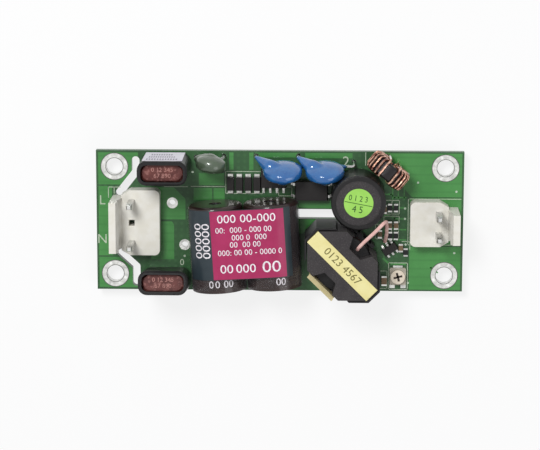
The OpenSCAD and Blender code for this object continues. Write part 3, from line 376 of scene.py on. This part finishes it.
CAP_HEIGHT = 0.69                              # height of a digit where the font's size is 1
LIFT = {                                       # height of each thin print above what it lies on, in mm
    "pour": 0.012, "trace": 0.016, "dot": 0.02, "silk": 0.028, "rim": 0.058, "ring_via": 0.062,
    "label_panel": 0.03, "label_words": 0.055, "can_digits": 0.03, "mark": 0.02, "fuse_mark": 0.01,
}


def mesh_object(name, points, faces):
    mesh = bpy.data.meshes.new(name)
    mesh.from_pydata(points, [], faces)
    mesh.update()
    return linked(name, mesh)


def dress(obj, slot, material, body="supply", smooth=False):
    """Give a piece its look and the body it rides on; the slot argument is not used."""
    obj.data.materials.clear()
    obj.data.materials.append(material)
    for face in obj.data.polygons:
        face.use_smooth = smooth
    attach(obj, body)
    return obj


class Print:
    """Flat marks, gathered in millimetres and laid on a surface as one thin piece."""

    def __init__(self):
        self.points = []
        self.faces = []

    def shape(self, outline):
        first = len(self.points)
        self.points += outline
        self.faces.append(tuple(range(first, first + len(outline))))
        return self

    def bar(self, a, b, width):
        a, b = Vector(a), Vector(b)
        along = (b - a).normalized()*width/2
        side = Vector((-along.y, along.x))
        return self.shape([tuple(a - along - side), tuple(b + along - side),
            tuple(b + along + side), tuple(a - along + side)])

    def path(self, points, width):
        for a, b in zip(points, points[1:]):
            self.bar(a, b, width)
        return self

    def frame(self, x0, y0, x1, y1, width):
        return self.path([(x0, y0), (x1, y0), (x1, y1), (x0, y1), (x0, y0)], width)

    def dot(self, x, y, r, sides=14):
        return self.shape([(x + r*math.cos(math.tau*i/sides), y + r*math.sin(math.tau*i/sides))
            for i in range(sides)])

    def sheet(self, corners, across, up):
        """Four-sided panel from its corners, anticlockwise, split so that it can bend."""
        a, b, c, d = (Vector(p) for p in corners)

        def spot(i, j):
            return tuple(a.lerp(b, i/across).lerp(d.lerp(c, i/across), j/up))

        for i in range(across):
            for j in range(up):
                self.shape([spot(i, j), spot(i + 1, j), spot(i + 1, j + 1), spot(i, j + 1)])
        return self

    def words(self, text, x, y, height, turn=0.0, stretch=1.0):
        """Text centred on a point, in Blender's own plain font."""
        curve = bpy.data.curves.new("words", "FONT")
        curve.body = text
        curve.size = height/CAP_HEIGHT
        curve.align_x = "CENTER"
        curve.align_y = "CENTER"
        curve.resolution_u = 3
        holder = bpy.data.objects.new("words", curve)
        mesh = bpy.data.meshes.new_from_object(holder)
        c, s = math.cos(math.radians(turn)), math.sin(math.radians(turn))
        first = len(self.points)
        for v in mesh.vertices:
            u, w = v.co.x*stretch, v.co.y
            self.points.append((x + u*c - w*s, y + u*s + w*c))
        self.faces += [tuple(first + i for i in face.vertices) for face in mesh.polygons]
        bpy.data.meshes.remove(mesh)
        bpy.data.objects.remove(holder)
        bpy.data.curves.remove(curve)
        return self

    def lay(self, name, ink, surface, body="supply"):
        """Make the piece; surface turns a flat point into a place in millimetres."""
        points = [tuple(v*MM for v in surface(x, y)) for x, y in self.points]
        slot, material = ink
        return dress(mesh_object(name, points, self.faces), slot, material, body)


def level(z):
    """A flat surface at height z."""
    return lambda x, y: (x, y, z)


def on_board(lift):
    return level(TOP/MM + lift)


def spans(node):
    """Lowest and highest corner of a CAD node in millimetres."""
    low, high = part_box(node)
    return [v/MM for v in low], [v/MM for v in high]


def top_middle(node, lift):
    """Middle of the upper side of a CAD node, raised by lift, in millimetres."""
    low, high = spans(node)
    return (low[0] + high[0])/2, (low[1] + high[1])/2, high[2] + lift


# Copper and silk print on the board

def board_patches(name, outlines, ink, lift):
    """Copper under the lacquer, cut from the board's own upper face, so that holes stay open.
    Each outline is convex."""
    whole = bmesh.new()
    whole.from_mesh(NODES["board"].data)
    low = [f for f in whole.faces if f.normal.z < 0.9 or f.calc_center_median().z < TOP/2]
    bmesh.ops.delete(whole, geom=low, context="FACES")
    points, faces = [], []
    for outline in outlines:
        part = whole.copy()
        middle = sum((Vector((x, y, 0)) for x, y in outline), Vector())/len(outline)
        for a, b in zip(outline, outline[1:] + outline[:1]):
            side = Vector((b[1] - a[1], a[0] - b[0], 0)).normalized()
            if side.dot(middle - Vector((*a, 0))) > 0:
                side = -side
            bmesh.ops.bisect_plane(part, geom=part.verts[:] + part.edges[:] + part.faces[:],
                plane_co=Vector((*a, 0))*MM, plane_no=side, clear_outer=True)
        first = len(points)
        part.verts.index_update()
        points += [(v.co.x, v.co.y, v.co.z + lift*MM) for v in part.verts]
        faces += [tuple(first + v.index for v in f.verts) for f in part.faces]
        part.free()
    whole.free()
    return dress(mesh_object(name, points, faces), *ink)


def block(x0, y0, x1, y1):
    return [(x0, y0), (x1, y0), (x1, y1), (x0, y1)]


def copper_print(inks):
    board_patches("copper_pours", [
        block(-34.6, 6.9, -29.2, 13.1), [(-29.2, 13.1), (-29.2, 6.9), (-27.0, 8.4), (-27.0, 13.1)],
        block(-34.6, -13.1, -29.2, -7.2), [(-29.2, -13.1), (-29.2, -7.2), (-27.0, -8.8), (-27.0, -13.1)],
        block(-34.6, -6.9, -32.0, 6.6),
        [(-24.6, 6.4), (-20.2, 6.4), (-18.0, 4.2), (-18.0, 0.2), (-24.6, 0.2)],
        [(-24.6, -0.2), (-20.6, -0.2), (-20.2, -0.8), (-20.2, -7.6), (-24.6, -7.6)],
        block(-16.4, 4.0, -12.9, 6.3), block(-15.4, 6.9, -10.6, 9.2), block(-12.6, 4.0, -10.5, 6.3),
        block(-9.6, 9.9, -8.8, 13.2), block(-5.8, 9.9, -5.0, 13.2), block(-4.6, 12.3, 3.4, 13.2),
        block(4.8, 12.2, 13.8, 13.2), block(3.6, 2.5, 12.2, 4.0),
        [(3.4, 0.4), (7.2, 0.4), (4.4, -2.4), (3.4, -2.4)],
        [(16.6, 13.2), (34.6, 13.2), (34.6, 4.8), (24.9, 4.8), (24.2, 5.8)],
        block(24.8, -13.2, 34.6, -4.8), block(24.8, -4.6, 34.6, 4.6)], inks["pour"], LIFT["pour"])


def trace_print(inks):
    trace = Print()
    for i, y in enumerate((5.3, 3.3, 1.2, -0.9, -2.9)):
        trace.path([(19.4 + 0.3*i, y), (21.2, y), (21.9, y - 0.6), (24.0, y - 0.6)], 0.28)
    for x in (21.5, 22.6, 23.7):
        trace.path([(x, 6.6), (x, 4.4)], 0.22)
    trace.path([(19.9, -7.2), (21.0, -8.2), (24.0, -8.2)], 0.4)
    trace.path([(-3.8, 12.2), (-3.8, 10.6), (-2.6, 9.6)], 0.3)
    trace.path([(25.2, -8.9), (29.0, -8.9), (30.2, -9.8)], 0.3)
    trace.lay("copper_traces", inks["pour"], on_board(LIFT["trace"]))


def dot_print(inks):
    """Small vias between the parts."""
    dots = Print()
    for x, y in ((24.4, 9.3), (26.3, 7.6), (-16.6, 9.4), (-12.0, 9.9), (24.6, -11.9), (33.4, -6.0),
            (33.6, 5.9), (-23.2, 7.5), (-18.2, -6.9), (21.4, 7.3), (23.9, 0.6), (23.9, 2.6),
            (19.0, 6.8), (24.1, -4.4)):
        dots.dot(x, y, 0.22)
    dots.lay("via_dots", inks["tin"], on_board(LIFT["dot"]))


def silk_print(inks):
    silk = Print()
    silk.words("L", -33.9, 3.8, 1.75).words("N", -33.95, -3.75, 1.75)
    silk.path([(-30.4, 6.4), (-32.7, 6.4), (-32.7, 4.4)], 0.14)
    silk.path([(-31.6, 6.4), (-31.6, 5.2)], 0.14)
    silk.path([(-22.0, 6.55), (-17.6, 6.55)], 0.12)
    silk.path([(-16.9, 6.62), (-10.3, 6.62)], 0.12)
    silk.frame(-10.3, 5.3, -3.2, 9.55, 0.12)
    silk.frame(-0.2, 4.9, 2.3, 6.6, 0.12)
    silk.path([(3.5, 8.6), (3.5, 4.2), (9.3, 4.2)], 0.12)
    silk.words("2", 12.6, 11.5, 1.9)
    silk.path([(16.3, 13.3), (16.3, 10.9)], 0.12)
    silk.frame(19.9, 1.5, 22.8, 4.15, 0.12).bar((21.4, 1.5), (21.4, 4.15), 0.12)
    silk.frame(19.9, -0.2, 22.8, 1.1, 0.12)
    silk.frame(18.3, -3.3, 22.7, -0.5, 0.12).bar((21.4, -3.3), (21.4, -0.5), 0.12)
    silk.frame(20.9, -13.2, 24.5, -8.0, 0.14)
    silk.frame(19.0, -13.0, 20.6, -9.6, 0.12)
    silk.path([(23.4, -3.8), (24.9, -3.8), (24.9, -5.4)], 0.12)
    silk.path([(24.5, 4.45), (34.5, 4.45)], 0.12).path([(24.5, -4.45), (34.5, -4.45)], 0.12)
    silk.path([(24.5, 4.45), (24.5, -4.45)], 0.12)
    silk.words("0", -18.7, -8.2, 1.2).words("4", -13.0, 9.9, 1.1).words("7", 17.9, 7.9, 1.1)
    silk.lay("silk_print", inks["silk"], on_board(LIFT["silk"]))


RING_VIAS = 8                                  # small vias in the ring around each mounting hole
RING_VIA_AT = 2.1                              # their distance from the hole's middle
RING_VIA_R = 0.27
RIMS = ((1.62, 1.72), (2.52, 2.66))            # inner and outer radius of the ring's dark edges
RIM_STEPS = 48


def circle_point(x, y, r, turn):
    return x + r*math.cos(turn), y + r*math.sin(turn)


def plated_details(inks):
    """Small vias and dark edges on the ring around every mounting hole."""
    vias = Print()
    rims = Print()
    spacing = frame["record"]["mounts"][0]["dims"]
    for sx in (-0.5, 0.5):
        for sy in (-0.5, 0.5):
            x, y = sx*spacing["spacing_x_mm"], sy*spacing["spacing_y_mm"]
            for i in range(RING_VIAS):
                vias.dot(*circle_point(x, y, RING_VIA_AT, math.tau*(i + 0.5)/RING_VIAS), RING_VIA_R)
            for i in range(RIM_STEPS):
                a, b = math.tau*i/RIM_STEPS, math.tau*(i + 1)/RIM_STEPS
                for inner, outer in RIMS:
                    rims.shape([circle_point(x, y, r, turn)
                        for r, turn in ((inner, a), (outer, a), (outer, b), (inner, b))])
    vias.lay("mount_vias", inks["bright"], on_board(LIFT["ring_via"]))
    rims.lay("mount_rims", inks["dark"], on_board(LIFT["rim"]))


# Rating label: a panel and generic print that follow the tops of the cans

CAN_PITCH_HALF = 5.2                           # half the distance between the two cans
CAN_TURN = math.radians(3.2)
LABEL_R = 5.5                                  # outside of the label, from a can's axis
SLEEVE_R = 5.15                                # outside of a can's sleeve
SHEET_SHIFT = (-0.06, 0.03)                    # from the middle of the boxes to the middle of the cans


def around_cans(lift, radius, tops):
    """Places from s across the cans and t along them, on a sheet that bends down past the tops."""
    film, label = spans("capacitor_film"), spans("rating_label")
    middle = ((film[0][0] + film[1][0])/2 + SHEET_SHIFT[0], (label[0][1] + label[1][1])/2 + SHEET_SHIFT[1])
    axis = label[1][2] - LABEL_R
    c, d = math.cos(CAN_TURN), math.sin(CAN_TURN)

    def surface(s, t):
        foot = tops(s)
        angle = (s - foot)/radius
        x = foot + (radius + lift)*math.sin(angle)
        return (middle[0] + x*c - t*d, middle[1] + x*d + t*c, axis + (radius + lift)*math.cos(angle))
    return surface


def label_surface(lift):
    """The label spans the gap between the cans flat."""
    return around_cans(lift, LABEL_R, lambda s: max(-CAN_PITCH_HALF, min(CAN_PITCH_HALF, s)))


def label_print(inks):
    panel = Print().sheet([(-5.95, -6.5), (7.85, -6.5), (7.75, 6.5), (-6.05, 6.5)], 32, 2)
    panel.lay("label_panel", inks["label_pink"], label_surface(LIFT["label_panel"]))
    words = Print()
    words.words("00000", -8.6, 0.9, 1.5, 90, 1.25).words("00000", -6.95, 0.9, 1.5, 90, 1.25)
    words.words("000 00-000", 0.75, 4.9, 1.5, 0, 1.1)
    for t, text, s in ((2.8, "00:  000 - 000 00", 0.1), (1.35, "000 0  000", 1.1),
            (0.0, "00  00 00", 0.3), (-1.5, "000: 00 00 - 0000 0", 1.1)):
        words.words(text, s, t, 1.05)
    words.words("00", -3.4, -4.6, 1.6, 0, 1.1).words("000", 0.2, -4.6, 1.6, 0, 1.1)
    words.words("00", 5.0, -4.5, 2.1, 0, 1.2)
    words.lay("label_words", inks["label_white"], label_surface(LIFT["label_words"]))


def can_print(inks):
    """White digits printed on the sleeves below the label, one set on each can."""
    marks = Print()
    for s, text in ((-6.5, "0"), (-5.3, "0"), (-3.2, "00"), (6.6, "00")):
        marks.words(text, s, -7.55, 1.35)
    marks.lay("can_digits", inks["label_white"],
        around_cans(LIFT["can_digits"], SLEEVE_R, lambda s: math.copysign(CAN_PITCH_HALF, s)))


# Marks on the tape, the sticker and the fuses

def tape_print(inks):
    x, y, z = top_middle("transformer_tape", LIFT["mark"])
    marks = Print().words("0123 4567", x, y, 1.45, -45)
    marks.lay("tape_digits", inks["tape_ink"], level(z))


def sticker_print(inks):
    x, y, z = top_middle("test_sticker", LIFT["mark"])
    marks = Print().words("0 1 2 3", x - 0.05, y + 0.85, 1.05, -8, 0.85)
    marks.words("4 5", x - 0.2, y - 1.2, 1.25, -8, 0.9)
    marks.bar((x - 2.55, y + 0.35), (x + 2.5, y - 0.6), 0.12)
    marks.lay("sticker_marks", inks["sticker_ink"], level(z))


def fuse_label_print(inks):
    """Three rows of fine upright strokes."""
    low, high = spans("line_fuse_label")
    x0, x1, y = low[0], high[0], high[1] + LIFT["mark"]
    rows = Print()
    for row, step in enumerate((0.50, 0.42, 0.46)):
        z = high[2] - 1.5 - 2.7*row
        x = x0 + 0.8 + 0.3*row
        while x < x1 - 1.0 - 0.5*row:
            rows.bar((x, z - 0.55), (x, z + 0.55), step*0.5)
            x += step
    rows.lay("fuse_label_print", inks["fuse_ink"], lambda a, b: (a, y, b))


def fuse_words(x, y):
    return Print().words("0 12 345", x, y + 0.55, 0.8).words("67 890", x, y - 0.6, 0.8)


def fuse_print(inks):
    x, y, z = top_middle("line_fuse", LIFT["fuse_mark"])
    fuse_words(x, y).lay("line_fuse_marks", inks["fuse_mark"], level(z))
    low, high = spans("neutral_fuse")
    x, y, z = (low[0] + high[0])/2, high[1] - 1.75, high[2] - 0.2
    tilt = math.radians(8)
    fuse_words(x, 0).lay("neutral_fuse_marks", inks["fuse_mark"],
        lambda a, b: (a, y + b*math.cos(tilt), z - b*math.sin(tilt)))


SLOT_DEPTH = 0.24
SLOT_ARM = 0.66                                # from the middle of the cross slot to the end of an arm
SLOT_WIDTH = 0.4


def trimmer_print(inks):
    """Painted shade on the floor of the rotor's cross slot; it turns with the rotor."""
    x, y, z = top_middle("trimmer_rotor", -SLOT_DEPTH)
    cross = Print()
    for turn in (15, 105):
        a = Vector((math.cos(math.radians(turn)), math.sin(math.radians(turn))))*SLOT_ARM
        cross.bar((x - a.x, y - a.y), (x + a.x, y + a.y), SLOT_WIDTH)
    cross.lay("rotor_slot_painted_shade", inks["slot_shade_ink"], level(z), "rotor")


# Dipped coatings: the solid with extra drops of coating, melted into one smooth skin

DROPS = 12                                     # drops from one end of a run to the other
SKIN_CELL = 0.00013                            # grid of the melted skin in metres


def dipped(name, node, runs, slot, looks):
    """Each run of drops goes from one (place, radius) to another, in millimetres."""
    bm = bmesh.new()
    bm.from_mesh(NODES[node].data)
    for (a, ra), (b, rb) in runs:
        for i in range(DROPS + 1):
            spot = Vector(a).lerp(Vector(b), i/DROPS)*MM
            bmesh.ops.create_uvsphere(bm, u_segments=16, v_segments=10,
                radius=(ra + (rb - ra)*i/DROPS)*MM, matrix=Matrix.Translation(spot))
    mesh = bpy.data.meshes.new(name)
    bm.to_mesh(mesh)
    bm.free()
    obj = linked(name, mesh)
    remesh = obj.modifiers.new("skin", "REMESH")
    remesh.mode = "VOXEL"
    remesh.voxel_size = SKIN_CELL
    smooth = obj.modifiers.new("ease", "SMOOTH")
    smooth.factor = 0.5
    smooth.iterations = 12
    bpy.context.view_layer.update()
    melted = obj.evaluated_get(bpy.context.evaluated_depsgraph_get())
    skin = bpy.data.meshes.new_from_object(melted)
    obj.modifiers.clear()
    obj.data = skin
    dress(obj, slot, looks[slot], smooth=True)
    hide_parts(node)


def dip_coatings(looks):
    for side in ("left", "right"):
        node = "disc_capacitor_" + side
        low, high = spans(node)
        tip = (low[0] + 0.45, high[1] - 0.36, low[2] + 0.9)
        shoulder = (tip[0] + 2.6, tip[1] - 1.45, 6.3)
        belly = (tip[0] + 5.0, tip[1] - 2.9, 6.6)
        runs = [((tip, 0.38), (shoulder, 1.5)), ((shoulder, 1.5), (belly, 1.95))]
        dipped("disc_coating_" + side, node, runs, "blue_coating", looks)
    low, high = spans("thermistor")
    tip = (low[0] + 0.5, low[1] + 2.4, low[2] + 0.8)
    shoulder = (-13.9, 12.2, 6.4)
    tail = (-15.2, 12.7, 6.0)
    belly = (-13.0, 11.9, 6.8)
    runs = [((tip, 0.42), (shoulder, 1.5)), ((tail, 0.7), (belly, 1.9))]
    dipped("thermistor_coating", "thermistor", runs, "thermistor_coating", looks)


# The scene

bpy.context.scene.view_settings.view_transform = "Standard"
make_camera()
make_stage()
looks = make_looks()
for part in frame["record"]["subparts"]:
    node = NODES[part["node"]]
    node.data.materials.clear()
    node.data.materials.append(looks[part["material_slot"]])
NODES["transformer_winding"].data.materials[0] = winding().mat

inks = make_inks()
copper_print(inks)
trace_print(inks)
dot_print(inks)
silk_print(inks)
plated_details(inks)
label_print(inks)
can_print(inks)
tape_print(inks)
sticker_print(inks)
fuse_label_print(inks)
fuse_print(inks)
trimmer_print(inks)
dip_coatings(looks)
